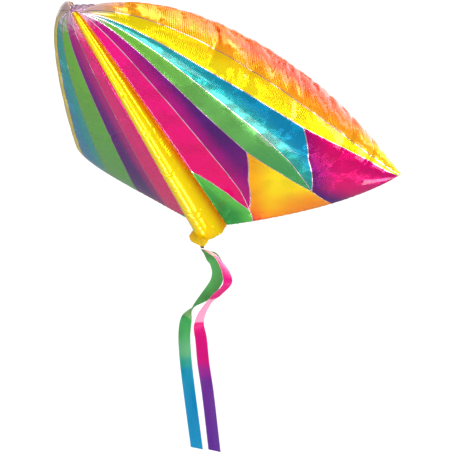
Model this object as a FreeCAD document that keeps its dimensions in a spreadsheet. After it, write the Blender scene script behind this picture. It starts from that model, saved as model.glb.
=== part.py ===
import FreeCAD, Part
import math
import os

# A foil balloon in the shape of a delta kite: two puffed wings on a round keel tube,
# with a gathered filling neck, its tie, and two ribbons hanging from the tie.
# Row frame: +X across the span, +Z up, and the front (the keel's side) towards -Y.
# The origin is the tie, where a line is knotted on. Everything is in millimetres.

SIZES = {
    # the keel line, from the nose down to the keel's tail
    "spine_length": 690,
    "spine_pitch": 46,
    "tie_behind_tail": 35,
    "tie_below_tail": 49,
    # the keel tube
    "keel_nose_radius": 4.5,
    "keel_tail_radius": 39,
    "keel_taper": 0.657,
    "keel_end_dome": 24,
    "tube_tail_radius": 41,
    "tube_taper": 0.9,
    "keel_weld_width": 4,
    # the outline of a wing
    "half_span": 421,
    "tip_station": 659,
    "tail_bow": 34,
    "ray_power_keel": 0.6,
    "ray_power_edge": 0.632,
    # how a wing is drooped back from the keel
    "droop_angle": 26.4,
    "droop_curl": 42,
    "nose_droop": 114,
    # how far the films are puffed apart
    "puff_height": 85,
    "puff_roundness": 1.6,
    "puff_skew": 2.0,
    "puff_rise": 0.573,
    "puff_close": 1.3,
    # films and welds
    "film_thickness": 0.8,
    "hem_width": 7,
    "hem_wrap_tip": 0.12,
    "hem_wrap_nose": 0.30,
    # neck and tie
    "neck_top_height": 14,
    "neck_top_radius": 6,
    "neck_tie_radius": 2.6,
    "neck_stub": 4,
    "tie_ring_radius": 3.4,
    "tie_thread_radius": 0.7,
    "tie_pitch": 1.5,
    # filling valve, flat inside the keel's tail
    "valve_length": 90,
    "valve_width": 26,
    "valve_film": 0.4,
    # ribbons
    "ribbon_width": 28,
    "ribbon_thickness": 0.5,
    "ribbon_tied_width": 6,
    "ribbon_opens_over": 30,
    "ribbon_cut_slant": 10,
}

doc = FreeCAD.newDocument("DeltaKiteBalloon")
sheet = doc.addObject("Spreadsheet::Sheet", "Sizes")
for row, (alias, value) in enumerate(SIZES.items(), start=1):
    sheet.set(f"A{row}", alias)
    sheet.set(f"B{row}", str(value))
    sheet.setAlias(f"B{row}", alias)
doc.recompute()


def size(alias):
    return float(sheet.get(alias))


# ---- the keel's own directions: down its length, and out of its front ----

PITCH = math.radians(size("spine_pitch"))
DOWN_KEEL = FreeCAD.Vector(0, math.sin(PITCH), -math.cos(PITCH))
OUT_FRONT = FreeCAD.Vector(0, -math.cos(PITCH), -math.sin(PITCH))
TAIL = FreeCAD.Vector(0, size("tie_behind_tail"), size("tie_below_tail"))
NOSE = TAIL - DOWN_KEEL * size("spine_length")


def place(side, across, station, front):
    """A point from its distance across, down the keel, and out of the front."""
    point = NOSE + DOWN_KEEL * station + OUT_FRONT * front
    return FreeCAD.Vector(side * across, point.y, point.z)


def keel_radius(station):
    share = min(max(station / size("spine_length"), 0), 1)
    nose, tail = size("keel_nose_radius"), size("keel_tail_radius")
    return nose + (tail - nose) * share ** size("keel_taper")


def tube_radius(station):
    """The keel's round film, slimmer near the nose than the line that the wings start from."""
    share = min(max(station / size("spine_length"), 0), 1)
    nose, tail = size("keel_nose_radius"), size("tube_tail_radius")
    return nose + (tail - nose) * share ** size("tube_taper")


# ---- a wing: fan runs 0 at the keel to 1 at the leading edge, ray 0 at the nose to 1 ----


def wing_plan(fan, ray):
    """Where a point of the wing is: across, down the keel, and its edges' height."""
    tail_across = size("keel_tail_radius") + size("keel_weld_width")
    reach = (size("half_span") - tail_across) * fan
    end = size("spine_length") + (size("tip_station") - size("spine_length")) * fan
    end += size("tail_bow") * 4 * fan * (1 - fan)
    power = size("ray_power_keel") + (size("ray_power_edge") - size("ray_power_keel")) * fan
    station = end * ray
    out = reach * ray ** power
    across = keel_radius(station) + size("keel_weld_width") + out
    span_share = out / size("half_span")
    height = -math.tan(math.radians(size("droop_angle"))) * out
    height += size("droop_curl") * span_share ** 2
    height -= size("nose_droop") * span_share * (1 - ray)
    return across, station, height


def puff(fan, ray):
    """How far a film stands off the plane of the wing's edges."""
    bulge = math.sqrt(max(0, 1 - abs(2 * fan - 1) ** size("puff_roundness")))
    bulge *= math.exp(size("puff_skew") * (fan - 0.5))
    closing = math.sqrt(max(0, 1 - ray ** size("puff_close")))
    return size("puff_height") * bulge * ray ** size("puff_rise") * closing


def film_point(side, face, fan, ray):
    across, station, height = wing_plan(fan, ray)
    return place(side, across, station, height + face * puff(fan, ray))


def even_fan(share):
    """Spaces the fan so that the round edges come out smooth."""
    return (1 - math.cos(math.pi * share)) / 2


def even_ray(share):
    return math.sin(math.pi / 2 * share) ** 1.6


NOSE_SHARE = 0.035  # the films start here, just off the nose's point
TAIL_SHARE = 0.99  # and end here, where the two films are welded
FAN_STEPS = 14
RAY_STEPS = 16
LEADING_HEM_END = 0.93  # short of the tip, where the trailing hem takes over
TRAILING_HEM_END = 0.985
WELD_GAP = 0.6  # mm between the keel's round film and the flat weld beside it
STEP = 0.004


def inward(side, u, v):
    """From a point of the wing's skin into the wing, by the film's thickness."""
    u0, u1 = max(0.006, u - STEP), min(1.994, u + STEP)
    v0, v1 = max(NOSE_SHARE, v - STEP), min(TAIL_SHARE, v + STEP)
    middle_u, middle_v = (u0 + u1) / 2, (v0 + v1) / 2
    across = wing_point(side, u1, middle_v) - wing_point(side, u0, middle_v)
    along = wing_point(side, middle_u, v1) - wing_point(side, middle_u, v0)
    normal = across.cross(along) * side
    normal.normalize()
    return normal * size("film_thickness")


# ---- solids from rows of points ----


def solid_between(outer, inner):
    """A closed skin between an outside and an inside grid of points."""
    outside, inside = Part.BSplineSurface(), Part.BSplineSurface()
    outside.interpolate(outer)
    inside.interpolate(inner)
    faces = [outside.toShape(), inside.toShape()]
    u0, u1, v0, v1 = outside.bounds()
    s0, s1, t0, t1 = inside.bounds()
    rims = [(outside.uIso(u0), inside.uIso(s0)), (outside.uIso(u1), inside.uIso(s1))]
    rims += [(outside.vIso(v0), inside.vIso(t0)), (outside.vIso(v1), inside.vIso(t1))]
    for first, second in rims:
        faces.append(Part.makeRuledSurface(first.toShape(), second.toShape()))
    shell = Part.makeShell(faces)
    shell.sewShape()
    return Part.makeSolid(shell)


def add_shape(label, shape):
    feature = doc.addObject("Part::Feature", label)
    feature.Shape = shape
    feature.Label = label
    feature.Placement = FreeCAD.Placement()
    return feature


def steps(count, first=0.0, last=1.0):
    return [first + (last - first) * i / count for i in range(count + 1)]


# ---- wing films ----


def seam_share(v):
    """Where a leading hem lies: round the back of the edge, and further at the nose."""
    return 1 + size("hem_wrap_tip") + (size("hem_wrap_nose") - size("hem_wrap_tip")) * (1 - v)


def wing_point(side, u, v):
    """A point of the wing's closed skin: u goes out over the front and back over the back."""
    face = 1 if u <= 1 else -1
    return film_point(side, face, even_fan(u), even_ray(v))


def wing_film(label, side, face):
    outer, inner = [], []
    for v in steps(RAY_STEPS, NOSE_SHARE, TAIL_SHARE):
        seam = seam_share(v)
        first, last = (0, seam) if face > 0 else (seam, 2)
        row = [first + (last - first) * share for share in steps(FAN_STEPS)]
        outer_row = [wing_point(side, u, v) for u in row]
        inner_row = [wing_point(side, u, v) + inward(side, u, v) for u in row]
        outer.append(outer_row)
        inner.append(inner_row)
    return add_shape(label, solid_between(outer, inner))


# ---- flat strips: welded hems and ribbons ----


def square_to(direction, along):
    along.normalize()
    across = direction - along * direction.dot(along)
    across.normalize()
    return across


def strip_solid(lefts, rights, thickness):
    """A flat strip between two rows of points."""
    sections = []
    for i, (left, right) in enumerate(zip(lefts, rights)):
        along = lefts[min(i + 1, len(lefts) - 1)] - lefts[max(i - 1, 0)]
        flat = along.cross(right - left)
        flat.normalize()
        lift = flat * (thickness / 2)
        corners = [left + lift, right + lift, right - lift, left - lift]
        sections.append(Part.makePolygon(corners + corners[:1]))
    return Part.makeLoft(sections, True, True)


def leading_hem(label, side):
    """Lies back along the wing's back film, lifted off it a little."""
    lefts, rights = [], []
    for v in steps(2 * RAY_STEPS, NOSE_SHARE, LEADING_HEM_END):
        seam = seam_share(v)
        point = wing_point(side, seam, v)
        outward = inward(side, seam, v) * -1
        lift = outward * (1 + size("film_thickness"))
        back = wing_point(side, seam + STEP, v) - point
        back.normalize()
        outward.normalize()
        lefts.append(point + lift)
        rights.append(point + lift + (back + outward * 0.4) * size("hem_width"))
    return add_shape(label, strip_solid(lefts, rights, 2 * size("film_thickness")))


def trailing_hem(label, side):
    """Stands off the trailing edge, down and back."""
    lefts, rights = [], []
    for fan in steps(2 * RAY_STEPS, 0, TRAILING_HEM_END):
        point = film_point(side, 0, fan, 1)
        away = DOWN_KEEL * 0.6 - OUT_FRONT * 0.8
        lefts.append(point + away * size("film_thickness"))
        rights.append(point + away * size("hem_width"))
    return add_shape(label, strip_solid(lefts, rights, 2 * size("film_thickness")))


def keel_weld(label, side):
    lefts, rights = [], []
    for v in steps(2 * RAY_STEPS, NOSE_SHARE):
        station = size("spine_length") * even_ray(v)
        lefts.append(place(side, tube_radius(station) + WELD_GAP, station, 0))
        rights.append(place(side, keel_radius(station) + size("keel_weld_width"), station, 0))
    return add_shape(label, strip_solid(lefts, rights, size("film_thickness")))


# ---- the keel tube, in a front and a back half, with a round tail ----


def keel_half(label, face):
    length, dome = size("spine_length"), size("keel_end_dome")

    def point_at(u, v, shrink=0.0):
        station = (length + dome) * v
        past = max(0, station - length) / dome
        radius = tube_radius(station) * math.sqrt(max(0, 1 - past ** 2))
        radius = max(radius, 3) - shrink
        station -= shrink * past
        angle = math.pi * u
        return place(1, radius * math.cos(angle), station, face * radius * math.sin(angle))

    thickness = size("film_thickness")
    stations = [0.0, 0.02, 0.06, 0.12, 0.2, 0.3, 0.4, 0.5, 0.6, 0.7, 0.8, 0.88, 0.94]
    dome_start = length / (length + dome)
    dome_steps = [dome_start + (1 - dome_start) * math.sin(math.pi / 2 * k / 5) for k in range(6)]
    rows = stations + dome_steps
    outer = [[point_at(u, v) for u in steps(12)] for v in rows]
    inner = [[point_at(u, v, thickness) for u in steps(12)] for v in rows]
    return add_shape(label, solid_between(outer, inner))


# ---- the neck: gathered film with pleats, and the thread that ties it ----


def pleated_ring(height, radius, pleats, depth):
    points = []
    for k in range(pleats * 4):
        angle = 2 * math.pi * k / (pleats * 4)
        here = radius * (1 + depth * math.cos(pleats * angle))
        points.append(FreeCAD.Vector(here * math.cos(angle), here * math.sin(angle), height))
    ring = Part.BSplineCurve()
    ring.interpolate(points, PeriodicFlag=True)
    return Part.Wire(ring.toShape())


def neck(label):
    top, tied, stub = size("neck_top_height"), size("neck_tie_radius"), size("neck_stub")
    rings = [
        pleated_ring(top, size("neck_top_radius"), 7, 0.12),
        pleated_ring(top * 0.5, (size("neck_top_radius") + tied) / 2, 7, 0.12),
        pleated_ring(2.5, tied, 7, 0.05),
        pleated_ring(-stub, tied, 7, 0.05),
    ]
    return add_shape(label, Part.makeLoft(rings, True))


def tie(label):
    turns = []
    for k in range(3):
        ring = doc.addObject("Part::Torus", f"{label}_turn_{k}")
        ring.setExpression("Radius1", "Sizes.tie_ring_radius")
        ring.setExpression("Radius2", "Sizes.tie_thread_radius")
        ring.setExpression("Placement.Base.z", f"{k - 1} * Sizes.tie_pitch * 0.9")
        turns.append(ring)
    whole = doc.addObject("Part::MultiFuse", label)
    whole.Shapes = turns
    whole.Label = label
    return whole


# ---- the filling valve: two flat film strips welded together, sealed in the keel ----


def valve_strip(label, layer):
    strip = doc.addObject("Part::Box", label)
    strip.setExpression("Length", "Sizes.valve_width")
    strip.setExpression("Width", "Sizes.valve_film")
    strip.setExpression("Height", "Sizes.valve_length")
    strip.Label = label
    lift = OUT_FRONT * (-size("valve_film") * layer)
    base = TAIL - DOWN_KEEL * 2 + lift + FreeCAD.Vector(-size("valve_width") / 2, 0, 0)
    turn = FreeCAD.Rotation(FreeCAD.Vector(0, 0, 1), DOWN_KEEL * -1)
    strip.Placement = FreeCAD.Placement(base, turn)
    return strip


# ---- ribbons: X, Y and Z of the centre line, and which way the width points in plan (degrees) ----

MAGENTA_ROUTE = [
    (2, 0, -6, 122), (20, -4, -9, 122), (41, -8, -17, 118), (57, -12, -30, 104),
    (68, -16, -43, 88), (74, -18, -57, 76), (75, -18, -69, 70), (66, -16, -82, 64),
    (48, -10, -98, 60), (31, 0, -114, 66), (15, 6, -126, 78), (9, 2, -136, 84),
    (3, -8, -152, 78), (0, -14, -168, 70), (-1, -14, -185, 58), (2, -10, -210, 44),
    (4, -4, -268, 34), (13, 0, -337, 34), (30, 0, -471, 32),
]
GREEN_ROUTE = [
    (-2, 0, -6, 80), (14, 4, -17, 44), (26, 8, -27, 34), (31, 12, -42, 32), (33, 14, -57, 32),
    (29, 14, -77, 32), (19, 12, -95, 34), (8, 8, -111, 40), (-6, 3, -125, 58),
    (-18, -1, -136, 84), (-26, -4, -146, 118), (-33, -6, -161, 160), (-40, -6, -176, 192),
    (-46, -3, -206, 210), (-47, 0, -243, 212), (-40, 0, -313, 212), (-17, 0, -474, 210),
]


def smooth_route(route, between=4):
    """More places along a route, on a curve through its points (Catmull-Rom)."""
    ends = [route[0]] + route + [route[-1]]
    smooth = []
    for before, here, after, beyond in zip(ends, ends[1:], ends[2:], ends[3:]):
        for step in range(between):
            f = step / between
            smooth.append(tuple(
                0.5 * (2 * b + (c - a) * f + (2 * a - 5 * b + 4 * c - d) * f ** 2
                       + (3 * b - a - 3 * c + d) * f ** 3)
                for a, b, c, d in zip(before, here, after, beyond)))
    return smooth + [route[-1]]


def ribbon(label, route):
    """A flat ribbon along a route, narrow where it is tied and with a slanted end."""
    route = smooth_route(route)
    centre = [FreeCAD.Vector(x, y, z) for x, y, z, _ in route]
    travelled, lefts, rights = 0, [], []
    for i, (point, (_, _, _, facing)) in enumerate(zip(centre, route)):
        before, after = centre[max(i - 1, 0)], centre[min(i + 1, len(centre) - 1)]
        travelled += (point - before).Length
        turn = math.radians(facing)
        sideways = square_to(FreeCAD.Vector(math.cos(turn), math.sin(turn), 0), after - before)
        opened = min(1, travelled / size("ribbon_opens_over"))
        wide = size("ribbon_tied_width") * (1 - opened) + size("ribbon_width") * opened
        lefts.append(point - sideways * (wide / 2))
        rights.append(point + sideways * (wide / 2))
    cut = lefts if math.cos(math.radians(route[-1][3])) < 0 else rights
    cut[-1] = cut[-1] - FreeCAD.Vector(0, 0, size("ribbon_cut_slant"))
    return add_shape(label, strip_solid(lefts, rights, size("ribbon_thickness")))


# ---- the assembly ----

parts = []
for side_name, side in (("right", 1), ("left", -1)):
    parts.append(wing_film(f"front_film_{side_name}", side, 1))
    parts.append(wing_film(f"back_film_{side_name}", side, -1))
    parts.append(leading_hem(f"leading_hem_{side_name}", side))
    parts.append(trailing_hem(f"trailing_hem_{side_name}", side))
    parts.append(keel_weld(f"keel_weld_{side_name}", side))
parts.append(keel_half("keel_film_front", 1))
parts.append(keel_half("keel_film_back", -1))
parts.append(valve_strip("valve_film_front", 0))
parts.append(valve_strip("valve_film_back", 1))
parts.append(neck("neck"))
parts.append(tie("tie_thread"))
parts.append(ribbon("ribbon_magenta", MAGENTA_ROUTE))
parts.append(ribbon("ribbon_green", GREEN_ROUTE))

doc.recompute()
for item in doc.Objects:
    if "Invalid" in item.State or "Error" in item.State:
        raise RuntimeError(f"{item.Label} failed to build: {item.State}")
for part in parts:
    shape = part.Shape
    if shape.isNull() or not shape.isValid() or shape.Volume <= 0:
        raise RuntimeError(f"{part.Label} is not a valid solid: {shape.Volume}")

os.makedirs("parts", exist_ok=True)
for part in parts:
    part.Shape.exportStep(f"parts/{part.Label}.step")
    box = part.Shape.BoundBox
    print(part.Label, round(part.Shape.Volume, 1), [round(v, 1) for v in (
        box.XMin, box.XMax, box.YMin, box.YMax, box.ZMin, box.ZMax)])
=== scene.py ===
"""Delta-kite foil balloon: its looks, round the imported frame. Metres: +X along the span, +Z up, front -Y."""

import math

import bpy
import numpy as np
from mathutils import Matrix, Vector


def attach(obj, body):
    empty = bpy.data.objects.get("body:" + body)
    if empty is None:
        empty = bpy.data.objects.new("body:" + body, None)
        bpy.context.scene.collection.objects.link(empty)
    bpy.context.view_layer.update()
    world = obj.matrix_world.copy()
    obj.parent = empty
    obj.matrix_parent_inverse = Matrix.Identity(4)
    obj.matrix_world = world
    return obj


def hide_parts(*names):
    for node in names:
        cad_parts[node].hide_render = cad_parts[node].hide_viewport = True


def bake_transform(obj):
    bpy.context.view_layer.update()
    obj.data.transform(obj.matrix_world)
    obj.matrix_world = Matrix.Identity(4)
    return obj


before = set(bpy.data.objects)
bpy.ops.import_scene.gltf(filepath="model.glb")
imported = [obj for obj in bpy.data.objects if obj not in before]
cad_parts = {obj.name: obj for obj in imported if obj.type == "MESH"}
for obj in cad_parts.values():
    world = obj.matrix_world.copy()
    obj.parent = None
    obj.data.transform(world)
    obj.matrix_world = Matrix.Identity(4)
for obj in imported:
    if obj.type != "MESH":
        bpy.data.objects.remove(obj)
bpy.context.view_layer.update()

# ---------------------------------------------------------------- the envelope's own measures

PITCH = math.radians(46)
DOWN = np.array([0, math.sin(PITCH), -math.cos(PITCH)])  # along the keel, nose to tail
OUT = np.array([0, -math.cos(PITCH), -math.sin(PITCH)])  # out of the front face
ACROSS = np.array([1.0, 0, 0])
KEEL = 0.690
TAIL = np.array([0, 0.035, 0.049])
NOSE = TAIL - DOWN * KEEL
HALF_SPAN, TIP_STATION, TAIL_BOW = 0.421, 0.659, 0.034
NOSE_R, TAIL_R, WELD, DOME = 0.0045, 0.039, 0.004, 0.024
TUBE_TAIL_R = 0.041
FLATTEST = 0.985  # how far along its edge a hem or weld runs
HEM = 0.007
rng = np.random.default_rng(11)


def keel_radius(station):
    return NOSE_R + (TAIL_R - NOSE_R) * np.clip(station / KEEL, 0, 1) ** 0.657


def tube_radius(station):
    return NOSE_R + (TUBE_TAIL_R - NOSE_R) * np.clip(station / KEEL, 0, 1) ** 0.9


def ray_at(v):
    """How far down the keel and the ribs the rows of a wing lie, from 0 at the nose to 1."""
    return np.sin(np.pi / 2 * v) ** 1.6


def skin(u, v, side):
    """A wing's closed skin: u 0 to 2 goes out over the front and back over the back, v nose to tail."""
    fan = (1 - np.cos(np.pi * u)) / 2
    ray = ray_at(v)
    end = KEEL + (TIP_STATION - KEEL) * fan + TAIL_BOW * 4 * fan * (1 - fan)
    station = end * ray
    out = (HALF_SPAN - TAIL_R - WELD) * fan * ray ** (0.6 + 0.032 * fan)
    across = keel_radius(station) + WELD + out
    share = out / HALF_SPAN
    lift = -math.tan(math.radians(26.4)) * out + 0.042 * share**2 - 0.114 * share * (1 - ray)
    belly = np.sqrt(np.maximum(0, 1 - np.abs(2 * fan - 1) ** 1.6)) * np.exp(2 * (fan - 0.5))
    belly = belly * np.where(u <= 1, 1, -1) * np.sqrt(np.maximum(0, 1 - ray**1.3))
    lift = lift + 0.085 * belly * ray**0.573
    place = NOSE + DOWN * station[..., None] + OUT * lift[..., None]
    place[..., 0] = side * across
    return place


def seam_at(v):
    """Where the leading-edge weld runs: round on the back face."""
    return 1.12 + 0.18 * (1 - v)


def smooth(x):
    x = np.clip(x, 0, 1)
    return x * x * (3 - 2 * x)


def finer(grid, times=2, axes=(0, 1)):
    """The same surface with more points along its rows and columns, by Catmull-Rom."""
    for axis in axes:
        g = np.moveaxis(grid, axis, 0)
        ends = [2 * g[:1] - g[1:2], g, 2 * g[-1:] - g[-2:-1]]
        p = np.concatenate(ends)
        parts = []
        for k in range(times):
            t = k / times
            a, b, c, d = p[:-3], p[1:-2], p[2:-1], p[3:]
            parts.append(
                0.5 * (2 * b + (c - a) * t + (2 * a - 5 * b + 4 * c - d) * t**2
                       + (3 * b - a - 3 * c + d) * t**3)
            )
        woven = np.stack(parts, 1).reshape(-1, *g.shape[1:])
        grid = np.moveaxis(np.concatenate([woven, g[-1:]]), 0, axis)
    return grid


def normals_of(grid):
    """A unit vector square to the surface at every point of its grid."""
    a = np.gradient(grid, axis=0)
    b = np.gradient(grid, axis=1)
    n = np.cross(a, b)
    return n / np.maximum(np.linalg.norm(n, axis=-1, keepdims=True), 1e-12)


# ---------------------------------------------------------------- foil under pressure


def settle(start, base, slack_u, slack_v, hold, push, fixed, rounds):
    """Film that can't stretch, blown up. Each edge keeps its cut length, which is the smooth shape's length
    plus its slack, so the film gathers into creases where it was cut longer than the shape it fills."""
    x = start.copy()
    free = (~fixed)[..., None].astype(float)
    links = []
    for axis, slack in ((0, slack_u), (1, slack_v)):
        for reach, stiff in ((1, 0.9), (2, 0.22)):
            n = base.shape[axis]
            first = np.arange(n - reach)
            for colour in range(2):
                some = first[(first // reach) % 2 == colour]
                b = np.moveaxis(base, axis, 0)
                s = np.moveaxis(slack, axis, 0)
                length = np.linalg.norm(b[some + reach] - b[some], axis=-1)
                length = length * (1 + (s[some + reach] + s[some]) / 2)
                links.append((axis, some, reach, stiff, length))
    diagonals = []
    for turn in (1, -1):
        jb, je = (slice(0, -1), slice(1, None)) if turn > 0 else (slice(1, None), slice(0, -1))
        for colour in range(2):
            ia = np.arange(colour, base.shape[0] - 1, 2)
            slack = (slack_u[ia][:, jb] + slack_v[ia + 1][:, je]) / 2
            length = np.linalg.norm(base[ia + 1][:, je] - base[ia][:, jb], axis=-1) * (1 + slack)
            diagonals.append((ia, jb, je, length))
    for _ in range(rounds):
        x += free * (push * normals_of(x) + hold[..., None] * (base - x))
        for axis, some, reach, stiff, length in links:
            y, w = np.moveaxis(x, axis, 0), np.moveaxis(free, axis, 0)
            d = y[some + reach] - y[some]
            now = np.maximum(np.linalg.norm(d, axis=-1), 1e-9)
            off = ((now - length) / now * 0.5 * stiff)[..., None] * d
            y[some] += off * w[some]
            y[some + reach] -= off * w[some + reach]
        for ia, jb, je, length in diagonals:
            d = x[ia + 1][:, je] - x[ia][:, jb]
            now = np.maximum(np.linalg.norm(d, axis=-1), 1e-9)
            off = ((now - length) / now * 0.15)[..., None] * d
            x[ia, jb] += off * free[ia][:, jb]
            x[ia + 1, je] -= off * free[ia + 1][:, je]
    return x


# ---------------------------------------------------------------- meshes


def sheet_mesh(name, grid, fields, flip=False):
    """A mesh from a grid of points, with a number for every field at every point."""
    nu, nv = grid.shape[:2]
    ids = np.arange(nu * nv).reshape(nu, nv)
    a, b, c, d = ids[:-1, :-1], ids[1:, :-1], ids[1:, 1:], ids[:-1, 1:]
    quads = np.stack([a, b, c, d] if not flip else [d, c, b, a], -1).reshape(-1, 4)
    flat_fields = {key: np.broadcast_to(values, (nu, nv)).reshape(-1) for key, values in fields.items()}
    return raw_mesh(name, grid.reshape(-1, 3), quads, flat_fields)


def raw_mesh(name, points, quads, fields):
    """A smooth-shaded mesh object that carries its fields as point attributes."""
    mesh = bpy.data.meshes.new(name)
    mesh.from_pydata(points.tolist(), [], quads.tolist())
    for key, values in fields.items():
        mesh.attributes.new(key, "FLOAT", "POINT").data.foreach_set("value", values.astype(np.float32))
    mesh.polygons.foreach_set("use_smooth", [True] * len(mesh.polygons))
    mesh.update()
    piece = bpy.data.objects.new(name, mesh)
    bpy.context.scene.collection.objects.link(piece)
    return piece


def tube_mesh(name, centres, radius, sides):
    """A round tube along a line of points."""
    along = np.gradient(centres, axis=0)
    along /= np.maximum(np.linalg.norm(along, axis=1, keepdims=True), 1e-12)
    up = np.array([0, 0, 1.0]) if abs(along[0][2]) < 0.9 else np.array([1.0, 0, 0])
    rings = []
    for c, t in zip(centres, along):
        s = np.cross(t, up)
        s /= np.linalg.norm(s)
        up = np.cross(s, t)
        angle = np.linspace(0, 2 * np.pi, sides, endpoint=False)
        rings.append(c + radius * (np.cos(angle)[:, None] * s + np.sin(angle)[:, None] * up))
    points = np.array(rings).reshape(-1, 3)
    quads = []
    n = len(centres)
    for i in range(n - 1):
        for k in range(sides):
            m = (k + 1) % sides
            quads.append([i * sides + k, i * sides + m, (i + 1) * sides + m, (i + 1) * sides + k])
    return raw_mesh(name, points, np.array(quads), {})


# ---------------------------------------------------------------- node helpers


class Nodes:
    """Short ways to put shader nodes together."""

    def __init__(self, name):
        self.material = bpy.data.materials.new(name)
        self.material.use_nodes = True
        self.tree = self.material.node_tree
        self.tree.nodes.clear()
        self.out = self.tree.nodes.new("ShaderNodeOutputMaterial")

    def put(self, socket, value):
        if hasattr(value, "is_output"):
            self.tree.links.new(value, socket)
        elif value is not None:
            socket.default_value = value

    def field(self, name):
        n = self.tree.nodes.new("ShaderNodeAttribute")
        n.attribute_name = name
        return n.outputs["Fac"]

    def math(self, kind, a, b=None, c=None):
        n = self.tree.nodes.new("ShaderNodeMath")
        n.operation = kind
        for i, value in enumerate((a, b, c)):
            if value is not None:
                self.put(n.inputs[i], value)
        return n.outputs[0]

    def ramp01(self, x, low, high, out_low=0.0, out_high=1.0):
        n = self.tree.nodes.new("ShaderNodeMapRange")
        n.interpolation_type = "SMOOTHSTEP"
        for i, value in enumerate((x, low, high, out_low, out_high)):
            self.put(n.inputs[i], value)
        return n.outputs[0]

    def mix(self, share, a, b):
        n = self.tree.nodes.new("ShaderNodeMix")
        n.data_type = "RGBA"
        self.put(n.inputs[0], share)
        self.put(n.inputs[6], a)
        self.put(n.inputs[7], b)
        return n.outputs[2]

    def colours(self, x, stops):
        n = self.tree.nodes.new("ShaderNodeValToRGB")
        n.color_ramp.interpolation = "EASE"
        while len(n.color_ramp.elements) < len(stops):
            n.color_ramp.elements.new(0.5)
        for element, (place, colour) in zip(n.color_ramp.elements, stops):
            element.position = place
            element.color = colour
        self.put(n.inputs[0], x)
        return n.outputs[0]

    def noise(self, scale, detail=2.0, rough=0.5, vector=None):
        n = self.tree.nodes.new("ShaderNodeTexNoise")
        n.inputs["Scale"].default_value = scale
        n.inputs["Detail"].default_value = detail
        n.inputs["Roughness"].default_value = rough
        self.put(n.inputs["Vector"], vector if vector is not None else self.place())
        return n.outputs["Fac"]

    def place(self):
        if not hasattr(self, "_place"):
            self._place = self.tree.nodes.new("ShaderNodeTexCoord").outputs["Object"]
        return self._place

    def point(self, x, y, z=0.0):
        n = self.tree.nodes.new("ShaderNodeCombineXYZ")
        for i, value in enumerate((x, y, z)):
            self.put(n.inputs[i], value)
        return n.outputs[0]

    def bump(self, height, distance, strength=1.0, under=None):
        n = self.tree.nodes.new("ShaderNodeBump")
        n.inputs["Strength"].default_value = strength
        n.inputs["Distance"].default_value = distance
        self.put(n.inputs["Height"], height)
        if under is not None:
            self.put(n.inputs["Normal"], under)
        return n.outputs[0]

    def shader(self, **sockets):
        n = self.tree.nodes.new("ShaderNodeBsdfPrincipled")
        for key, value in sockets.items():
            self.put(n.inputs[key.replace("_", " ")], value)
        self.tree.links.new(n.outputs[0], self.out.inputs[0])
        return n


def ink(text):
    """A display colour, #RRGGBB, as linear light."""
    parts = [int(text[i:i + 2], 16) / 255 for i in (1, 3, 5)]
    return tuple(p / 12.92 if p <= 0.04045 else ((p + 0.055) / 1.055) ** 2.4 for p in parts) + (1.0,)


# ---------------------------------------------------------------- printed film


def line(*stops):
    """A printed line's place across the wing (u) at each v."""
    v, u = zip(*stops)
    return lambda x: np.interp(x, v, u)


# the two corners where fans of colour meet, and the lines that lead into them from the nose
CORNER_A = ((0.806, 0.276), (1, 0.234))
CORNER_B = ((0.752, 0.568), (1, 0.566))
TOP_A = ((0, 0.49), (0.188, 0.456), (0.282, 0.45), (0.402, 0.46), (0.544, 0.486))
TOP_B = ((0, 0.70), (0.2, 0.715), (0.3, 0.734), (0.4, 0.768))
LINES = {
    "side_a": line((0, -0.02), (0.57, -0.02), (0.608, 0.136), (0.64, 0.19), (0.694, 0.235), *CORNER_A),
    "rib_ab": line((0, 0.30), (0.30, 0.306), (0.37, 0.312), (0.60, 0.314), (0.69, 0.308), *CORNER_A),
    "cut_a": line(*TOP_A, (0.646, 0.382), *CORNER_A),
    "side_b": line(*TOP_A, (0.636, 0.532), *CORNER_B),
    "rib_bc": line((0, 0.59), (0.342, 0.602), (0.488, 0.622), (0.606, 0.614), *CORNER_B),
    "cut_b": line(*TOP_B, (0.542, 0.806), (0.62, 0.69), *CORNER_B),
    "side_c": line(*TOP_B, (0.542, 0.808), (0.64, 0.85), (0.738, 0.888), (0.916, 0.924), (1, 0.93)),
    "rib_cd": line((0, 0.905), (0.37, 0.898), (0.484, 0.902), (0.57, 0.908), (0.728, 0.922), (0.9, 0.945),
                   (1, 0.95)),
}


def printed_fields(grid, u, v):
    """For each printed line, how far a point lies outside it, in millimetres on the film."""
    a = np.gradient(grid, axis=0)
    b = np.gradient(grid, axis=1)
    e, f, g = (a * a).sum(-1), (a * b).sum(-1), (b * b).sum(-1)
    area = np.maximum(e * g - f * f, 1e-16)
    fields = {}
    for name, at in LINES.items():
        level = u - at(v)
        lu, lv = np.gradient(level, axis=0), np.gradient(level, axis=1)
        steep = np.sqrt(np.maximum((g * lu**2 - 2 * f * lu * lv + e * lv**2) / area, 1e-9))
        fields[name] = np.clip(1000 * level / steep, -60, 60)
    return fields


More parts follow.
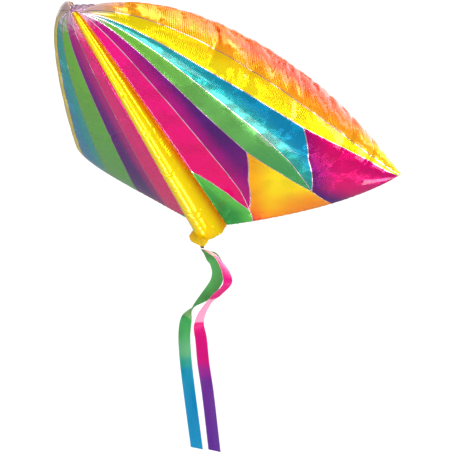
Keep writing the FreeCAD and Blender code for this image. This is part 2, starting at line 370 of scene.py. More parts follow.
def film_material(name):
    """The wings' printed film: fans of colour between fine bare lines, on metallised film."""
    n = Nodes(name)
    ray = n.field("ray")
    cloud = n.noise(9.0, 2.0, 0.5)
    drift = n.math("MULTIPLY_ADD", cloud, 0.16, -0.08)
    ray_d = n.math("ADD", ray, drift)
    pink = n.colours(ray_d, [(0.1, ink("#E80C7C")), (0.75, ink("#DE0068")), (1.0, ink("#CC0062"))])
    purple = n.mix(
        n.ramp01(n.field("rib_ab"), 4, 44),
        n.colours(ray_d, [(0.2, ink("#B8007E")), (0.6, ink("#9A0072")), (0.95, ink("#B80074"))]),
        n.colours(ray_d, [(0.1, ink("#6E0080")), (0.5, ink("#4A0A6C")), (0.9, ink("#8E0074"))]),
    )
    green = n.colours(ray_d, [(0.1, ink("#70B440")), (0.45, ink("#62A850")), (0.9, ink("#3C9A58"))])
    teal = n.mix(
        n.ramp01(n.field("rib_bc"), 3, 45),
        n.colours(ray_d, [(0.15, ink("#2BA39A")), (0.6, ink("#2C9C8C")), (0.9, ink("#1F8E86"))]),
        n.colours(ray_d, [(0.15, ink("#0090B4")), (0.6, ink("#0082AE")), (0.9, ink("#0090B8"))]),
    )
    yellow = n.mix(
        n.ramp01(n.field("side_c"), 14, 46),
        ink("#FAE010"),
        n.colours(ray_d, [(0.1, ink("#F8BE10")), (0.6, ink("#F8C610")), (1.0, ink("#FAD810"))]),
    )
    hot = n.mix(
        n.ramp01(n.field("rib_cd"), 2, 40),
        n.colours(ray_d, [(0.1, ink("#F7A81E")), (0.7, ink("#F59A1E")), (1.0, ink("#FFC81E"))]),
        n.colours(ray_d, [(0.1, ink("#EE6A1C")), (0.5, ink("#E23A22")), (0.85, ink("#E8501E")),
                          (1.0, ink("#F7A81E"))]),
    )
    corner_a = n.mix(n.ramp01(n.field("side_a"), -34, -4), ink("#2C8C3C"), ink("#58B84A"))
    corner_b = n.mix(
        n.ramp01(ray_d, 0.80, 1.0),
        n.mix(n.ramp01(n.field("cut_a"), 2, 60), ink("#F8A800"), ink("#FADC00")),
        n.mix(n.ramp01(n.field("cut_a"), 2, 50), ink("#DE3A20"), ink("#F88A10")),
    )
    from_cut = n.math("MULTIPLY_ADD", n.field("cut_b"), 0.010, n.math("MULTIPLY", ray_d, -1.15))
    corner_c = n.mix(n.ramp01(from_cut, -1.05, -0.30), ink("#52006C"), ink("#DC0068"))
    colour = corner_a
    for edge, paint in (
        ("side_a", pink), ("rib_ab", purple), ("cut_a", corner_b), ("side_b", green),
        ("rib_bc", teal), ("cut_b", corner_c), ("side_c", yellow), ("rib_cd", hot),
    ):
        colour = n.mix(n.ramp01(n.field(edge), -0.35, 0.35), colour, paint)
    bare = 0.0
    for edge, half in (
        ("side_a", 0.6), ("rib_ab", 0.7), ("cut_a", 0.7), ("side_b", 0.65),
        ("rib_bc", 0.55), ("cut_b", 0.7), ("side_c", 0.5), ("rib_cd", 0.5),
    ):
        stroke = n.ramp01(n.math("ABSOLUTE", n.field(edge)), half + 0.45, half - 0.2)
        bare = n.math("MAXIMUM", bare, stroke)
    colour = n.mix(bare, colour, ink("#F2CFDC"))
    # round the nose the print is mixed towards pale pink in a crinkled patch: a painted highlight for the
    # crinkled film's pale reflections there
    nose_sheen = n.math("MULTIPLY_ADD", n.noise(70.0, 3.0, 0.7), 0.10, n.math("ADD", ray, -0.05))
    colour = n.mix(n.ramp01(nose_sheen, 0.055, 0.0, 0.0, 0.75), colour, ink("#F2D2E4"))
    # fine ripples square to the ribs, strongest in drifting patches
    wander = n.math("MULTIPLY", n.noise(14.0), 3.0)
    wave = n.math("SINE", n.math("MULTIPLY_ADD", n.field("along"), 1.62, wander))
    patch = n.ramp01(n.noise(16.0, 3.0, 0.6), 0.40, 0.62)
    ripple = n.math("MULTIPLY", wave, patch)
    fine = n.noise(140.0, 3.0, 0.6)
    bump = n.bump(n.math("ADD", ripple, n.math("MULTIPLY", fine, 0.15)), 0.00045, 0.85)
    crush = n.noise(38.0, 4.0, 0.62)
    bump = n.bump(crush, 0.0010, 0.4, bump)
    n.shader(
        Base_Color=colour, Metallic=n.math("MULTIPLY_ADD", bare, 0.62, 0.38), Roughness=0.15,
        Specular_IOR_Level=0.05, Specular_Tint=(0.2, 0.2, 0.2, 1), Coat_Weight=0.42, Coat_Roughness=0.04,
        Coat_IOR=1.42, Normal=bump,
    )
    return n.material


FILM_GLOSS = dict(Specular_IOR_Level=0.1, Specular_Tint=(0.2, 0.2, 0.2, 1), Coat_Weight=0.35, Coat_IOR=1.4)


def plain_film_material(name, low, high, metal, rough):
    """Film in one colour that drifts from place to place."""
    n = Nodes(name)
    colour = n.mix(n.ramp01(n.noise(11.0, 3.0, 0.55), 0.3, 0.7), ink(low), ink(high))
    crush = n.noise(55.0, 4.0, 0.6)
    fine = n.noise(210.0, 3.0, 0.6)
    bump = n.bump(crush, 0.0010, 0.6, n.bump(fine, 0.00015, 0.6))
    n.shader(Base_Color=colour, Metallic=metal, Roughness=rough, Coat_Roughness=0.04, Normal=bump,
             **FILM_GLOSS)
    return n.material


def hem_material(name, low, high):
    """A welded seam: fine crimps across it."""
    n = Nodes(name)
    crimp = n.math("SINE", n.math("MULTIPLY", n.field("along"), 3.6))
    colour = n.mix(n.ramp01(n.noise(24.0, 3.0, 0.6), 0.3, 0.7), ink(low), ink(high))
    bump = n.bump(crimp, 0.00022, 0.8, n.bump(n.noise(160.0, 3.0, 0.6), 0.0002, 0.6))
    n.shader(Base_Color=colour, Metallic=0.5, Roughness=0.2, Normal=bump, Coat_Roughness=0.05, **FILM_GLOSS)
    return n.material


def keel_material(name):
    """The keel's film: one deep yellow, painted shade in darker orange down its sides where the round tube
    turns away, deepest at its welds, rings of fine folds.
    """
    n = Nodes(name)
    # painted shade: darker orange down both sides of the round tube, deepest at the welds
    side_shade = n.ramp01(n.math("SINE", n.field("angle")), 0.62, 0.04)
    cloud = n.ramp01(n.noise(10.0, 3.0, 0.55), 0.35, 0.7)
    colour = n.mix(cloud, ink("#FCD800"), ink("#FFE200"))
    colour = n.mix(side_shade, colour, ink("#EE9A00"))
    wander = n.math("MULTIPLY", n.noise(18.0, 2.0), 14.0)
    rings = n.math("SINE", n.math("MULTIPLY_ADD", n.field("along"), 0.9, wander))
    patch = n.ramp01(n.noise(13.0, 3.0, 0.6), 0.50, 0.66)
    fine = n.bump(n.noise(160.0, 3.0, 0.6), 0.00014, 0.6)
    bump = n.bump(n.math("MULTIPLY", rings, patch), 0.00022, 0.8, fine)
    bump = n.bump(n.noise(34.0, 4.0, 0.6), 0.0010, 0.5, bump)
    n.shader(Base_Color=colour, Metallic=0.4, Roughness=0.14, Normal=bump, Coat_Roughness=0.04, **FILM_GLOSS)
    return n.material


def ribbon_material(name, stops):
    """A printed plastic ribbon whose colour changes along it, with pale stretches in its colour table that are
    painted highlights, and fine lines drawn along its length.
    """
    n = Nodes(name)
    wander = n.math("MULTIPLY_ADD", n.noise(30.0, 2.0), 0.03, n.math("ADD", n.field("share"), -0.015))
    # the colour table carries the ribbon's print and, in its pale stretches, painted highlights
    colour = n.colours(wander, [(place, ink(text)) for place, text in stops])
    edge = n.ramp01(n.math("ABSOLUTE", n.field("side")), 0.44, 0.5, 0.0, 0.35)
    colour = n.mix(edge, colour, (1, 1, 1, 1))
    drawn = n.point(n.math("MULTIPLY", n.field("along"), 0.05), n.math("MULTIPLY", n.field("side"), 60.0))
    lines = n.noise(1.0, 3.0, 0.6, drawn)
    bump = n.bump(lines, 0.0002, 0.6, n.bump(n.noise(60.0, 3.0), 0.0006, 0.4))
    n.shader(Base_Color=colour, Metallic=0.1, Roughness=0.42, Specular_IOR_Level=0.1, Coat_Weight=0.1,
             Coat_Roughness=0.15, Coat_IOR=1.4, Normal=bump)
    return n.material


def thread_material(name):
    """Brown twisted cotton."""
    n = Nodes(name)
    colour = n.mix(n.noise(900.0, 2.0), ink("#3A2A22"), ink("#6E5242"))
    n.shader(Base_Color=colour, Roughness=0.8, Normal=n.bump(n.noise(1400.0, 2.0), 0.0003, 0.7))
    return n.material


# ---------------------------------------------------------------- wings

NF, NB, NV = 84, 84, 170  # rows of the front and the back film, and columns from nose to tail
V_FIRST, V_LAST = 0.004, 0.995
GAS_PUSH = 0.00006  # how far the gas moves the film in a round, before its edges hold it
EDGE_U = 1.12  # u of the leading edge, where the big creases start

# big creases across the leading edge: v at the edge, v and u where each dies out, depth in metres
CREASES = [
    (0.10, 0.115, 0.84, 0.0022), (0.160, 0.175, 0.78, 0.0030), (0.215, 0.235, 0.84, 0.0026),
    (0.272, 0.31, 0.70, 0.0046), (0.312, 0.33, 0.90, 0.0022), (0.348, 0.400, 0.74, 0.0046),
    (0.385, 0.405, 0.92, 0.0024), (0.418, 0.430, 0.86, 0.0040), (0.450, 0.462, 0.88, 0.0034),
    (0.466, 0.520, 0.70, 0.0046), (0.515, 0.525, 0.93, 0.0024), (0.560, 0.575, 0.88, 0.0042),
    (0.600, 0.612, 0.93, 0.0022), (0.634, 0.688, 0.67, 0.0048), (0.680, 0.690, 0.94, 0.0020),
    (0.718, 0.752, 0.77, 0.0038), (0.765, 0.775, 0.93, 0.0020), (0.804, 0.826, 0.88, 0.0030),
    (0.860, 0.870, 0.93, 0.0018), (0.910, 0.918, 0.94, 0.0014),
]
LEFT_CREASES = [(0.56, 0.47, 0.30, 0.0016)]


def cusp(x, width):
    """A sharp valley with round shoulders."""
    return np.exp(-(np.sqrt(x * x + 1.7e-6) - 0.0013) / width)


def gathers(u, v, s, side):
    """How far the film is drawn in at its creases, everywhere on a wing: the big ones and many small."""
    dent = np.zeros(u.shape)
    small = [
        (at, at + 0.012 + rng.normal(0, 0.010), rng.uniform(0.90, 1.03), rng.uniform(0.0007, 0.0017))
        for at in np.sort(rng.uniform(0.06, 0.97, 54))
    ]
    for number, (at, end, reach, depth) in enumerate(CREASES + small):
        t = np.clip((EDGE_U - u) / (EDGE_U - reach), 0, 1)  # 0 at the edge, 1 where the crease dies
        bow = 0.008 * np.sin(np.pi * t) * math.sin(2.3 * number)
        centre = at + (end - at) * t**0.8 + bow
        width = (0.0110 if depth > 0.0018 else 0.0055) * (0.75 + 0.5 * t)
        over = np.where(s <= 1, 1 - np.clip(t, 0, 1) ** 1.6, np.exp(-(((s - 1) / 0.16) ** 2)))
        over = over * np.where(s <= 1, 0.3 + 0.7 * smooth(t / 0.2), 0.3)
        if side < 0:
            over = over * 0.45
        dent += 1.5 * depth * over * cusp(v - centre, width)
    if side < 0:
        for at, end, reach, depth in LEFT_CREASES:
            t = (0.58 - u) / (0.58 - reach)
            over = smooth(t / 0.2) * smooth((1 - t) / 0.3) * (s <= 1)
            dent += depth * over * cusp(v - (at + (end - at) * t), 0.006)
    return dent


def edge_puckers(u, v, s):
    """Short gathers that the welds pull into the film: round the keel's root and along the trailing edge."""
    out = np.zeros(u.shape)
    station = 1000 * KEEL * ray_at(v)
    near_root = np.minimum(s, 2 - s)
    wander = 1.3 * np.sin(station / 31) + 0.8 * np.sin(station / 12.7 + 2)
    reach = 0.040 * (1 + 0.5 * np.sin(station / 23 + 1.1))
    root = np.exp(-((near_root / reach) ** 2)) * smooth(near_root / 0.012)
    root = root * smooth((v - 0.12) / 0.2) * smooth((0.985 - v) / 0.04)
    out += 0.00055 * root * np.sin(station / 1.25 + wander)
    across = 1000 * HALF_SPAN * (1 - np.cos(np.pi * u)) / 2
    wander = 1.5 * np.sin(across / 29) + 0.9 * np.sin(across / 11.3 + 1)
    reach = 0.050 * (1 + 0.4 * np.sin(across / 37))
    rim = np.exp(-(((1 - v) / reach) ** 2)) * smooth((0.9945 - v) / 0.008) * smooth(near_root / 0.1)
    out += 0.0011 * rim * (np.abs(np.sin(across / 3.9 + wander)) - 0.5)
    return out


def wing(side):
    """A wing's film, blown up: its u and v, and the points that it settles at."""
    v = np.linspace(V_FIRST, V_LAST, NV)[None, :]
    s = np.concatenate([np.linspace(0, 1, NF + 1), 1 + np.linspace(0, 1, NB + 1)[1:]])[:, None]
    u = np.where(s <= 1, s * seam_at(v), seam_at(v) + (s - 1) * (2 - seam_at(v)))
    v = np.broadcast_to(v, u.shape)
    base = skin(u, v, side)
    near = np.exp(-(((s - 1) / 0.30) ** 2)) * np.ones_like(v)  # near the leading-edge weld
    tail = smooth((v - 0.80) / 0.19) * np.ones_like(u)
    inner = np.maximum(np.exp(-((s / 0.10) ** 2)), np.exp(-(((2 - s) / 0.10) ** 2))) * np.ones_like(v)
    grow = smooth((v - 0.05) / 0.2)
    patches = finer(rng.random((8, 16))[..., None], 12)[:, :NV, 0]
    patches = np.pad(patches, ((0, u.shape[0] - patches.shape[0]), (0, 0)), "edge")
    slack_v = (0.026 * near**1.5 + 0.014 * inner) * grow * (0.6 + 0.8 * patches)
    slack_u = 0.030 * tail * (1 - 0.5 * near)
    hold = 0.012 + 0.05 * (1 - np.maximum(near, np.maximum(tail, 0.5 * inner)))
    fixed = np.zeros(u.shape, bool)
    fixed[0] = fixed[-1] = True
    fixed[:, 0] = fixed[:, -1] = True
    n = normals_of(base)
    facing = 1 if n[NF // 2, NV // 2] @ OUT > 0 else -1
    ripple = rng.normal(0, 1, u.shape)
    for axis in (0, 1):
        for _ in range(2 if axis else 5):
            ripple = (ripple + np.roll(ripple, 1, axis) + np.roll(ripple, -1, axis)) / 3
    x = base - n * facing * (0.0016 * ripple * near)[..., None]
    x = settle(x, base, slack_u, slack_v, hold, GAS_PUSH * facing, fixed, 160)
    return u, v, x


front_print = film_material("printed_film_front")
back_print = film_material("printed_film_back")
hem_film = hem_material("welded_hem", "#E06A18", "#F09A30")
keel_hem = hem_material("keel_weld_film", "#F28A12", "#FFB01E")
keel_gold = keel_material("keel_film")
# the neck is the keel's film painted paler and brighter: painted light that keeps the skirt pale yellow where
# it faces down into shade
neck_pale_lit = plain_film_material("neck_film_painted_pale", "#FFDE28", "#FFF06A", 0.05, 0.3)


def dress(piece, body, material, slot, *nodes):
    """Gives a piece its material, the body that it rides on and the CAD nodes that it stands for. Its slot is
    not used.
    """
    piece.data.materials.append(material)
    if body:
        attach(piece, body)
    if nodes:
        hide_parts(*nodes)
    return piece


def run_length(grid):
    """How far along its rows each point of a grid lies, in millimetres."""
    step = np.linalg.norm(np.diff(grid, axis=1), axis=-1)
    return np.concatenate([np.zeros((grid.shape[0], 1)), np.cumsum(step, 1)], 1) * 1000


def print_v(v, side):
    """Where the print is looked up: on the left wing the ribs run on nearly to the tail."""
    if side > 0:
        return v
    return np.interp(v, [0, 0.88, 1], [0, 0.54, 1])


for side, tag in ((1, "right"), (-1, "left")):
    u, v, x = wing(side)
    fine_x, fine_u, fine_v = finer(x), finer(u[..., None])[..., 0], finer(v[..., None])[..., 0]
    smooth_skin = skin(fine_u, fine_v, side)
    fine_s = np.linspace(0, 2, fine_u.shape[0])[:, None] * np.ones_like(fine_v)
    outward = normals_of(smooth_skin)
    outward *= 1 if outward[NF, NV] @ OUT > 0 else -1
    raised = edge_puckers(fine_u, fine_v, fine_s) - gathers(fine_u, fine_v, fine_s, side)
    fine_x = fine_x + outward * raised[..., None]
    more = dict(ray=ray_at(print_v(fine_v, side)), along=run_length(smooth_skin))
    cut = NF * 2  # the row where the front film meets the back film
    front_fields = {**printed_fields(smooth_skin, fine_u, print_v(fine_v, side)), **more}
    back_fields = {**printed_fields(smooth_skin, 2 - fine_u, fine_v), **more}
    front_fields = {k: f[:cut + 1] for k, f in front_fields.items()}
    back_fields = {k: f[cut:] for k, f in back_fields.items()}
    front = sheet_mesh(f"front_film_{tag}_skin", fine_x[:cut + 1], front_fields, side < 0)
    back = sheet_mesh(f"back_film_{tag}_skin", fine_x[cut:], back_fields, side < 0)
    dress(front, "balloon", front_print, "printed_film", f"front_film_{tag}")
    dress(back, "balloon", back_print, "printed_film", f"back_film_{tag}")

    # leading hem: folded back over the back film, crimped
    edge = fine_x[cut, 8:-8]
    rearward = smooth_skin[cut + 6, 8:-8] - smooth_skin[cut, 8:-8]
    rearward /= np.linalg.norm(rearward, axis=1, keepdims=True)
    outward = np.cross(np.gradient(edge, axis=0), rearward)
    outward /= np.linalg.norm(outward, axis=1, keepdims=True)
    outward *= 1 if (outward * (edge - smooth_skin.mean((0, 1)))).sum(1).mean() > 0 else -1
    run = run_length(edge[None])[0]
    wave = 0.0006 * np.sin(run / 3.1 + 1.4 * np.sin(run / 17))
    taper = np.minimum(1, np.minimum(np.arange(len(edge)), np.arange(len(edge))[::-1]) / 12)
    strips = []
    for k in np.linspace(0, 1, 7):
        reach = HEM * k * taper
        lift = 0.0005 + 0.35 * reach + wave * k
        strips.append(edge + rearward * reach[:, None] + outward * lift[:, None])
    hem = np.array(strips)
    piece = sheet_mesh(f"leading_hem_{tag}_crimped", hem, {"along": run_length(hem)}, side < 0)
    dress(piece, "balloon", hem_film, "hem_film", f"leading_hem_{tag}")

    # trailing hem: stands off the trailing edge, down and back
    end_fan = np.linspace(0.0, FLATTEST, 160)[:, None]
    edge = skin(np.arccos(1 - 2 * end_fan) / np.pi, np.full(end_fan.shape, V_LAST), side)[:, 0]
    away = DOWN * 0.6 - OUT * 0.8
    wave = 0.0007 * np.sin(run_length(edge[None])[0] / 2.7)
    strips = [edge + away * (HEM * k) + OUT * (wave * k)[:, None] for k in np.linspace(0, 1, 7)]
    hem = np.array(strips)
    piece = sheet_mesh(f"trailing_hem_{tag}_crimped", hem, {"along": run_length(hem)}, side > 0)
    dress(piece, "balloon", hem_film, "hem_film", f"trailing_hem_{tag}")

    # the flat weld between keel and wing
    station = KEEL * np.linspace(0.0, FLATTEST, 260)
    rows = []
    for k in np.linspace(0, 1, 5):
        across = (tube_radius(station) - 0.0006) * (1 - k) + (keel_radius(station) + WELD + 0.0006) * k
        ripple = 0.0005 * np.sin(station * 1000 / 2.2) * np.sin(np.pi * k)
        row = NOSE + DOWN * station[:, None] + OUT * ripple[:, None]
        row[:, 0] = side * across
        rows.append(row)
    weld = np.array(rows)
    piece = sheet_mesh(f"keel_weld_{tag}_crimped", weld, {"along": run_length(weld)}, side < 0)
    dress(piece, "balloon", keel_hem, "hem_film", f"keel_weld_{tag}")

# ---------------------------------------------------------------- keel tube


# folds that ring the keel: share of its length, angle round it, half their width in radians, depth
KEEL_FOLDS = [
    (0.30, 1.3, 0.5, 0.0006), (0.47, 1.1, 0.5, 0.0010), (0.58, 1.7, 0.4, 0.0007), (0.66, 1.5, 0.6, 0.0012),
    (0.73, 1.9, 0.4, 0.0010), (0.86, 1.4, 0.7, 0.0013), (0.93, 1.9, 0.5, 0.0008),
]


def keel_half(face):
    """Half of the round keel, with a rounded nose and tail and folds that ring it where it narrows."""
    rows, cols = 340, 90
    length = KEEL + DOME
    t = np.linspace(0, 1, rows)[None, :]
    station = length * t - 0.004 * (1 - np.clip(t / 0.01, 0, 1))
    angle = np.pi * np.linspace(0, 1, cols)[:, None] * np.ones_like(t)
    past = np.clip((station - KEEL) / DOME, 0, 1)
    nose = np.clip(t / 0.012, 0, 1)
    radius = tube_radius(np.clip(station, 0, KEEL)) * np.sqrt(1 - past**2) * np.sqrt(1 - (1 - nose) ** 2)
    place = NOSE + DOWN * station[..., None] + 0 * angle[..., None]
    n = np.zeros_like(place)
    n[..., 0] = np.cos(angle)
    n += OUT * (face * np.sin(angle))[..., None]
    dent = np.zeros_like(angle)
    for at, mid, wide, depth in KEEL_FOLDS:
        for copy in (0, 1):
            here = mid if copy == 0 else np.pi - mid * 0.6
            bend = 0.012 * np.cos(1.7 * (angle - here))
            fall = np.exp(-(((angle - here) / wide) ** 2))
            cut = (station - KEEL * (at + 0.02 * copy) - bend) / (0.0042 if copy == 0 else 0.0052)
            lips = np.exp(-((cut - 2.2) ** 2)) + np.exp(-((cut + 2.2) ** 2))
            dent += depth * fall * (np.exp(-(cut**2)) - 0.45 * lips)
    seam = np.exp(-((np.sin(angle) / 0.30) ** 2))
    pucker = np.sin(station * 1000 / 3.4 + 2.2 * np.sin(station * 37) + angle * 3)
    dent += 0.0003 * seam * pucker * smooth((t - 0.05) / 0.1) * (radius / 0.039)
    tail = smooth((station - KEEL + 0.03) / 0.05)
    dent += 0.0014 * tail * np.sin(angle * 9 + 1.3 * np.sin(station * 90)) * radius / 0.039
    return place + n * (radius - dent)[..., None], station * 1000, angle


for face, tag in ((1, "front"), (-1, "back")):
    grid, station, angle = keel_half(face)
    piece = sheet_mesh(f"keel_film_{tag}_tube", grid, {"along": station, "angle": angle}, face > 0)
    dress(piece, "balloon", keel_gold, "keel_film", f"keel_film_{tag}")

# the film bunched round the nose, between the two leading edges
v = np.linspace(0.004, 0.085, 60)[None, :]
k = np.linspace(0, 1, 80)[:, None]
rim_right, rim_left = (skin(1.02 + 0 * v, v, side) for side in (1, -1))
web = rim_left * (1 - k[..., None]) + rim_right * k[..., None]
arch = np.sin(np.pi * k) * smooth(v / 0.03)
crumple = np.sin(k * 19 + 3 * np.sin(v * 90)) * np.sin(v * 210 + 4 * k) + 0.6 * np.sin(k * 43 + v * 160)
web = web - DOWN * (0.010 * arch + 0.0012 * crumple * arch)[..., None]
web = web + OUT * (0.014 * arch * (1 - v / 0.1))[..., None]
gather_piece = sheet_mesh("nose_gather_film", web, {"along": run_length(web)})
nose_film = plain_film_material("nose_film", "#C878B0", "#F0C8E0", 0.6, 0.12)
dress(gather_piece, "balloon", nose_film, "printed_film")

# the filling valve: two flat strips inside the keel's tail, one on the other
VALVE_WIDE, VALVE_LONG = 0.026, 0.090
for layer, tag in enumerate(("front", "back")):
    down = np.linspace(-0.002 - VALVE_LONG, -0.002, 91)[None, :]
    across = np.linspace(-0.5, 0.5, 27)[:, None] * VALVE_WIDE
    ripple = 0.00006 * np.sin(down * 190 + 2 * np.sin(across * 160))
    ripple = ripple + 0.00004 * np.sin(across * 520 + down * 60)
    strip = TAIL + ACROSS * (across + 0 * down)[..., None] + DOWN * (down + 0 * across)[..., None]
    strip = strip + OUT * (0.0002 - 0.0004 * layer + ripple)[..., None]
    piece = sheet_mesh(f"valve_film_{tag}_strip", strip, {"along": run_length(strip)})
    valve_film = plain_film_material(f"valve_{tag}", "#C9CDD2", "#E4E7EA", 0.2, 0.22)
    dress(piece, "balloon", valve_film, "valve_film", f"valve_film_{tag}")

# ---------------------------------------------------------------- neck, tie and ribbons


def neck_skirt():
    """The keel's tail drawn into the tie: a flattened bag with a round lobe on its left, pleated below."""
    rows, cols = 90, 192
    t = np.linspace(0, 1, rows)
    stops = [0, 0.25, 0.5, 0.72, 0.88, 1]
    measures = [
        (-0.004, -0.014, -0.0185, -0.0115, -0.0020, 0.0),    # X of the middle
        (0.046, 0.036, 0.022, 0.010, 0.004, 0.0),            # Y
        (0.040, 0.031, 0.021, 0.0105, 0.0045, 0.0002),       # Z
        (0.0270, 0.0285, 0.0260, 0.0175, 0.0085, 0.0031),    # half its width
        (0.0240, 0.0215, 0.0175, 0.0115, 0.0065, 0.0031),    # half its depth
    ]
    mid_x, mid_y, mid_z, wide, deep = (soften(np.interp(t, stops, m)) for m in measures)
    angle = np.linspace(0, 2 * np.pi, cols)[:, None]
    t = t[None, :]
    pleat = np.sin(9 * angle + 2.0 * np.sin(2 * angle + 5 * t)) * 0.11 + 0.07 * np.sin(17 * angle + 7 * t)
    swell = 1 + pleat * smooth((t - 0.2) / 0.5) * (1 - 0.5 * smooth((t - 0.85) / 0.15))
    x = mid_x + wide * swell * np.cos(angle)
    lean = 0.75 * (1 - t) ** 0.5
    y = mid_y + deep * swell * np.sin(angle)
    z = mid_z + lean * deep * swell * np.sin(angle) * 0.8
    return np.stack([x, y, z + 0 * x], -1)


def soften(line):
    """A line of numbers without its corners."""
    for _ in range(30):
        line[1:-1] = (line[:-2] + 2 * line[1:-1] + line[2:]) / 4
    return line


skirt_grid = neck_skirt()
skirt = sheet_mesh("neck_skirt_film", skirt_grid, {"along": run_length(skirt_grid)})
dress(skirt, None, neck_pale_lit, "keel_film", "neck")
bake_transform(skirt)


def neck_stub():
    """The film's end below the tie: short pleats that flare out."""
    t = np.linspace(0, 1, 24)[None, :]
    angle = np.linspace(0, 2 * np.pi, 145)[:, None]
    flare = 0.0027 + 0.0006 * t**1.4
    pleat = 1 + (0.06 + 0.08 * t) * np.sin(7 * angle + 1.2 * np.sin(3 * angle))
    z = 0.0012 - 0.0038 * t + 0.0003 * t * np.cos(5 * angle)
    return np.stack([flare * pleat * np.cos(angle), flare * pleat * np.sin(angle), z + 0 * angle], -1)


stub_grid = neck_stub()
stub = sheet_mesh("neck_stub_film", stub_grid, {"along": run_length(stub_grid)}, True)
dress(stub, "neck", neck_pale_lit, "keel_film")

turns = np.linspace(0, 2 * np.pi * 4.5, 400)
core = np.stack([0.0034 * np.cos(turns), 0.0034 * np.sin(turns), 0.0020 - 0.0036 * turns / turns[-1]], 1)
cotton = thread_material("tie_thread_cotton")
thread = tube_mesh("tie_thread_winding", core, 0.00048, 10)
dress(thread, "neck", cotton, "thread", "tie_thread")
t = np.linspace(0, 1, 90)
knot = np.stack([
    0.0040 + 0.0016 * np.sin(2 * np.pi * t * 2),
    -0.0026 + 0.0014 * np.sin(2 * np.pi * t * 3 + 1),
    0.0012 * np.cos(2 * np.pi * t * 2),
], 1)
knot_piece = tube_mesh("tie_thread_knot", knot, 0.0005, 10)
dress(knot_piece, "neck", cotton, "thread")

# the ribbons' centre lines: X, Y and Z in millimetres, and which way the width points in plan (degrees)
MAGENTA_ROUTE = [
    (2, 0, -6, 122), (20, -4, -9, 122), (41, -8, -17, 118), (57, -12, -30, 104),
    (68, -16, -43, 88), (74, -18, -57, 76), (75, -18, -69, 70), (66, -16, -82, 64),
    (48, -10, -98, 60), (31, 0, -114, 66), (15, 6, -126, 78), (9, 2, -136, 84),
    (3, -8, -152, 78), (0, -14, -168, 70), (-1, -14, -185, 58), (2, -10, -210, 44),
    (4, -4, -268, 34), (13, 0, -337, 34), (30, 0, -471, 32),
]
GREEN_ROUTE = [
    (-2, 0, -6, 80), (14, 4, -17, 44), (26, 8, -27, 34), (31, 12, -42, 32), (33, 14, -57, 32),
    (29, 14, -77, 32), (19, 12, -95, 34), (8, 8, -111, 40), (-6, 3, -125, 58),
    (-18, -1, -136, 84), (-26, -4, -146, 118), (-33, -6, -161, 160), (-40, -6, -176, 192),
    (-46, -3, -206, 210), (-47, 0, -243, 212), (-40, 0, -313, 212), (-17, 0, -474, 210),
]
RIBBON, TIED, OPENS_OVER = 0.028, 0.006, 0.030


def ribbon_grid(route, phase, fold_at):
    """A ribbon's surface: gathered at the tie, soon at full width, cut on a slant at its end."""
    line = np.array(route, float)[None]
    for _ in range(2):
        line = finer(line, axes=(1,))
    centre, turn = line[0, :, :3] / 1000, np.radians(line[0, :, 3])
    run = np.concatenate([[0], np.cumsum(np.linalg.norm(np.diff(centre, axis=0), axis=1))])
    even = np.linspace(0, run[-1], 320)
    centre = np.stack([np.interp(even, run, centre[:, k]) for k in range(3)], 1)
    turn = np.interp(even, run, turn)
    for _ in range(8):
        centre[1:-1] = (centre[:-2] + 2 * centre[1:-1] + centre[2:]) / 4
        turn[1:-1] = (turn[:-2] + 2 * turn[1:-1] + turn[2:]) / 4
    share = np.linspace(-0.5, 0.5, 21)[:, None]
    width = TIED + (RIBBON - TIED) * smooth(even / OPENS_OVER)
    along = np.gradient(centre, axis=0)
    along /= np.linalg.norm(along, axis=1, keepdims=True)
    way = np.stack([np.cos(turn), np.sin(turn), 0 * turn], 1)
    way -= along * (way * along).sum(1, keepdims=True)
    way /= np.linalg.norm(way, axis=1, keepdims=True)
    flat = np.cross(along, way)
    slant = np.clip(1 - (run[-1] - even) / 0.05, 0, 1)
    right = 1 if way[-1, 0] > 0 else -1
    grid = centre[None] + way[None] * (share * width)[..., None]
    grid = grid + along[None] * (0.010 * (share * right + 0.5) * slant)[..., None]
    cup = 0.0012 * (1 - (2 * share) ** 2) * np.sin(even / 0.045 + phase)
    cup += 0.0026 * (1 - (2 * share) ** 2) * np.exp(-(((even - fold_at) / 0.020) ** 2))
    gather = 0.0005 * np.sin(share * 22) * (1 - smooth(even / 0.035))
    flutter = 0.0006 * np.sin(even / 0.017 + phase * 2) * (2 * share) ** 2
    return grid + flat[None] * (cup + gather + flutter)[..., None], even, share


# these colour tables are print with painted highlights in them. The magenta ribbon is pale pink from the tie
# to 0.07 and from 0.324 to 0.444 of its length. The green ribbon is pale green from 0.355 to 0.385. Those pale
# stretches are painted highlights where the ribbons' top sides catch the light.
for name, slot, route, phase, fold_at, stops in (
    ("ribbon_magenta", "magenta_ribbon", MAGENTA_ROUTE, 0.4, 0.190, [
        (0.0, "#EFA6B8"), (0.070, "#EDA0B4"), (0.080, "#D4107A"), (0.316, "#D00670"), (0.324, "#EC9CBC"),
        (0.444, "#EA96B8"), (0.454, "#D00870"), (0.61, "#C80874"), (0.67, "#92208A"), (0.71, "#66288C"),
        (1.0, "#5C2A8E"),
    ]),
    ("ribbon_green", "green_ribbon", GREEN_ROUTE, 1.9, 0.178, [
        (0.0, "#56AE5E"), (0.345, "#52B05A"), (0.355, "#8CC47C"), (0.385, "#86C27C"), (0.40, "#3EA254"),
        (0.46, "#46AA5C"), (0.56, "#62B67E"), (0.61, "#2CA494"), (0.65, "#0896BA"), (0.80, "#008CC0"),
        (1.0, "#0890C2"),
    ]),
):
    grid, even, share = ribbon_grid(route, phase, fold_at)
    piece = sheet_mesh(f"{name}_strip", grid, {"along": even * 1000, "share": even / even[-1], "side": share})
    dress(piece, name, ribbon_material(f"{name}_film", stops), slot, name)


# ---------------------------------------------------------------- studio


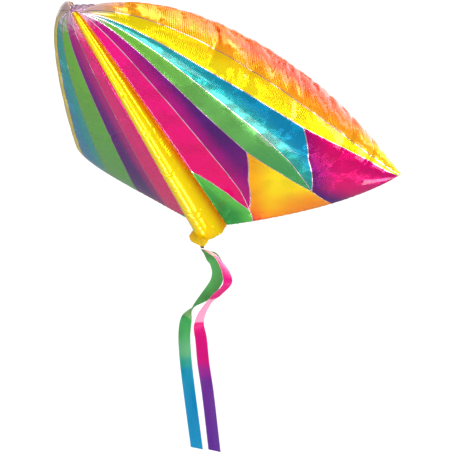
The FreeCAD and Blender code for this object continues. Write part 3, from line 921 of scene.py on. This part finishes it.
def area_light(name, at, to, wide, tall, power, turn=None):
    """A soft rectangular lamp, unseen by the camera. With a turn it lies flat and shines straight up."""
    data = bpy.data.lights.new(name, "AREA")
    data.shape = "RECTANGLE"
    data.size, data.size_y = wide, tall
    data.energy = power
    data.spread = math.radians(110)
    lamp = bpy.data.objects.new(name, data)
    lamp.location = at
    lamp.visible_camera = False
    lamp.rotation_euler = (Vector(to) - Vector(at)).to_track_quat("-Z", "Y").to_euler()
    if turn is not None:
        lamp.rotation_euler = (math.pi, 0, math.radians(turn))
    bpy.context.scene.collection.objects.link(lamp)
    return lamp


FLOOR_REACH, FLOOR_Z = 400.0, -2.6


def floor_plane(name, height, glow):
    """A plain floor that is equally pale all over."""
    mesh = bpy.data.meshes.new(name)
    near, far = -FLOOR_REACH, FLOOR_REACH
    corners = [(near, near, height), (far, near, height), (far, far, height), (near, far, height)]
    mesh.from_pydata(corners, [], [(0, 1, 2, 3)])
    plane = bpy.data.objects.new(name, mesh)
    bpy.context.scene.collection.objects.link(plane)
    pale = Nodes(f"{name}_white")
    pale.shader(
        Base_Color=(0.80, 0.80, 0.80, 1), Roughness=0.9, Specular_IOR_Level=0.1,
        Emission_Color=(1, 1, 1, 1), Emission_Strength=glow,
    )
    mesh.materials.append(pale.material)
    return plane


# the floor that is seen, and under it one that isn't, which lights the film from below and shows in it
floor = floor_plane("floor", FLOOR_Z + 0.01, 0.75)
for ray in ("diffuse", "glossy", "transmission", "volume_scatter", "shadow"):
    setattr(floor, f"visible_{ray}", False)
bounce = floor_plane("floor_bounce", FLOOR_Z, 0.0)
bounce.visible_camera = False

world = bpy.data.worlds.new("studio")
bpy.context.scene.world = world
world.use_nodes = True
sky = world.node_tree
way = sky.nodes.new("ShaderNodeTexCoord").outputs["Generated"]


def lobe(azimuth, elevation, sharp, power):
    """A soft patch of light in the sky, round one direction."""
    a, e = math.radians(azimuth), math.radians(elevation)
    dot = sky.nodes.new("ShaderNodeVectorMath")
    dot.operation = "DOT_PRODUCT"
    sky.links.new(way, dot.inputs[0])
    dot.inputs[1].default_value = (math.sin(a) * math.cos(e), -math.cos(a) * math.cos(e), math.sin(e))
    spot = sky.nodes.new("ShaderNodeMapRange")
    spot.interpolation_type = "SMOOTHSTEP"
    sky.links.new(dot.outputs["Value"], spot.inputs[0])
    spot.inputs[1].default_value = math.cos(math.radians(sharp))
    spot.inputs[2].default_value = math.cos(math.radians(sharp * 0.6))
    spot.inputs[3].default_value, spot.inputs[4].default_value = 0.0, power
    return spot.outputs[0]


def brighter(strength, more):
    """A sky strength with another one, or a number, added."""
    node = sky.nodes.new("ShaderNodeMath")
    sky.links.new(strength, node.inputs[0])
    if isinstance(more, float):
        node.inputs[1].default_value = more
    else:
        sky.links.new(more, node.inputs[1])
    return node.outputs[0]


SKY_BASE = 0.18
strength = brighter(lobe(-60, 55, 40, 0.5), lobe(160, 60, 40, 0.5))
strength = brighter(brighter(strength, lobe(-152, 8, 28, 1.0)), SKY_BASE)
background = sky.nodes["Background"]
background.inputs[0].default_value = (1, 1, 1, 1)
sky.links.new(strength, background.inputs[1])

area_light("front_fill_low", (0.6, -2.6, -0.75), (0.1, -0.1, 0.2), 2.2, 1.0, 9.5)
area_light("front_fill_high", (1.9, -2.4, 1.5), (0.1, -0.1, 0.2), 1.2, 0.8, 5.5)
area_light("left_fill", (-2.2, -1.6, -0.5), (-0.1, -0.1, 0.2), 1.6, 1.2, 6)
area_light("right_panel", (2.3, 0.9, 1.1), (0.3, -0.1, 0.3), 0.5, 1.5, 7)
area_light("right_strip", (1.9, 0.1, -0.5), (0.3, -0.1, 0.3), 0.40, 1.3, 6)
area_light("low_strip", (-0.66, -0.20, -1.28), (0, 0, 0), 0.60, 0.24, 2.4, turn=52)
area_light("low_panel", (0.22, -0.26, -1.28), (0, 0, 0), 0.30, 0.45, 1.1, turn=0)
area_light("nose_panel", (0.28, -0.86, -1.28), (0, 0, 0), 0.50, 0.50, 2.6, turn=0)
area_light("lens_panel", (0.75, 0.72, -1.28), (0, 0, 0), 0.50, 0.32, 2.0, turn=40)
area_light("high_panel", (1.50, 0.13, 1.95), (0.1, -0.1, 0.3), 1.3, 1.5, 12)
area_light("back_panel", (0.79, 1.96, 1.13), (0.1, -0.1, 0.2), 3.0, 2.2, 46)

camera_data = bpy.data.cameras.new("camera")
camera_data.lens = 100.19
camera_data.clip_end = 1000
camera_data.sensor_width = 36
camera = bpy.data.objects.new("camera", camera_data)
camera.location = (1.3833, -2.3879, 0.6006)
looked_at = Vector((0.1174, -0.0977, 0.0741))
camera.rotation_euler = (looked_at - camera.location).to_track_quat("-Z", "Y").to_euler()
bpy.context.scene.collection.objects.link(camera)
bpy.context.scene.camera = camera
bpy.context.scene.view_settings.view_transform = "Standard"
